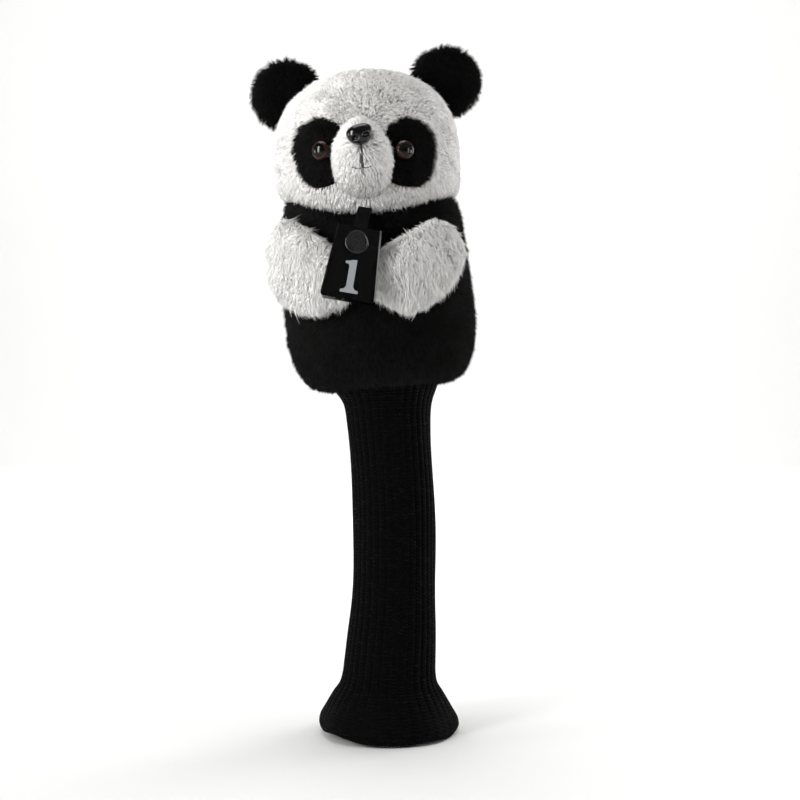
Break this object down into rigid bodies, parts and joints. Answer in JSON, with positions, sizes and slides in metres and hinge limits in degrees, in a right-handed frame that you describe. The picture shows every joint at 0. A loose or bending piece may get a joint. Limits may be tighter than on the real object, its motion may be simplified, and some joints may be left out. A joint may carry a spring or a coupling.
{
  "type": "driver head cover",
  "caption": "Plush animal driver head cover with stuffed head, hugging arms, hanging push-button number tag and a long rib-knit sleeve that flares at the hem.",
  "frame": {"origin": "centre of the sleeve's open hem, where the club goes in", "axes": "+Z along the sleeve towards the ears, -Y the side with the face, +X the figure's left-hand side as seen from the front right"},
  "size_m": [0.1536, 0.1521, 0.451],
  "materials": {
    "black_knit": "rib knit",
    "black_plush": "short pile plush",
    "eye_brown": "glossy with a black pupil",
    "eye_clear": "clear glossy",
    "lining": "smooth lining cloth",
    "nose_plastic": "glossy moulded",
    "numeral_silver": "silver satin",
    "seam_tape": "cotton tape",
    "steel": "bright",
    "tag_plastic": "glossy moulded",
    "thread": "embroidery thread",
    "wadding": "polyester wadding",
    "washer_plastic": "matt",
    "webbing": "flat webbing",
    "white_plush": "long pile plush"
  },
  "bodies": {
    "plush_figure": {"face_panel_left": "white_plush", "face_panel_right": "white_plush", "head_back_panel_left": "white_plush", "head_back_panel_right": "white_plush", "muzzle_cover": "white_plush", "head_stuffing": "wadding", "muzzle_stuffing": "wadding", "ear_stuffing_left": "wadding", "ear_stuffing_right": "wadding", "body_wadding": "wadding", "eye_patch_left": "black_plush", "eye_patch_right": "black_plush", "ear_front_left": "black_plush", "ear_front_right": "black_plush", "ear_back_left": "black_plush", "ear_back_right": "black_plush", "body_front_panel_left": "black_plush", "body_front_panel_right": "black_plush", "body_back_panel_left": "black_plush", "body_back_panel_right": "black_plush", "nose": "nose_plastic", "nose_washer": "washer_plastic", "eye_washer_left": "washer_plastic", "eye_washer_right": "washer_plastic", "mouth_thread": "thread", "eye_back_left": "eye_brown", "eye_back_right": "eye_brown", "eye_dome_left": "eye_clear", "eye_dome_right": "eye_clear", "pocket_lining": "lining", "pocket_top": "lining", "neck_seam_tape": "seam_tape", "sleeve_seam_tape": "seam_tape", "sleeve_neck": "black_knit", "strap_anchor": "webbing"},
    "sleeve": {"knit_sleeve": "black_knit"},
    "arm_left": {"arm_cover_left": "white_plush", "arm_stuffing_left": "wadding"},
    "arm_right": {"arm_cover_right": "white_plush", "arm_stuffing_right": "wadding"},
    "tag_cap": {"tag_strap": "webbing", "strap_bar": "steel", "tag_cap_front": "tag_plastic", "tag_cap_back": "tag_plastic", "cap_screws": "steel", "button_bezel": "tag_plastic", "button_spring": "steel"},
    "tag_button": {"button": "tag_plastic"},
    "number_slide": {"number_case": "tag_plastic", "number_case_back": "tag_plastic", "numeral": "numeral_silver"}
  },
  "joints": [
    {"name": "sleeve_bend", "type": "hinge", "parent": "plush_figure", "child": "sleeve", "pos_m": [0, 0, 0.212], "axis": [0, 1, 0], "range_deg": [-15, 15]},
    {"name": "arm_left_lift", "type": "hinge", "parent": "plush_figure", "child": "arm_left", "pos_m": [-0.07167, -0.03, 0.31626], "axis": [0, 1, 0], "range_deg": [0, 40], "stiffness_Nm_per_rad": 0.08, "springref_deg": -8.59},
    {"name": "arm_right_lift", "type": "hinge", "parent": "plush_figure", "child": "arm_right", "pos_m": [0.03992, -0.048, 0.32583], "axis": [0, -1, 0], "range_deg": [0, 40], "stiffness_Nm_per_rad": 0.08, "springref_deg": -8.59},
    {"name": "tag_swing", "type": "hinge", "parent": "plush_figure", "child": "tag_cap", "pos_m": [-0.01381, -0.05695, 0.33431], "axis": [-0.9869, 0, 0.1616], "range_deg": [0, 65]},
    {"name": "button_press", "type": "slide", "parent": "tag_cap", "child": "tag_button", "axis": [-0.0225, 0.9903, -0.1373], "range_m": [0, 0.0012], "stiffness_N_per_m": 300},
    {"name": "number_release", "type": "slide", "parent": "tag_cap", "child": "number_slide", "axis": [-0.16, -0.1392, -0.9773], "range_m": [0, 0.014], "stiffness_N_per_m": 40, "springref_m": -0.01}
  ]
}
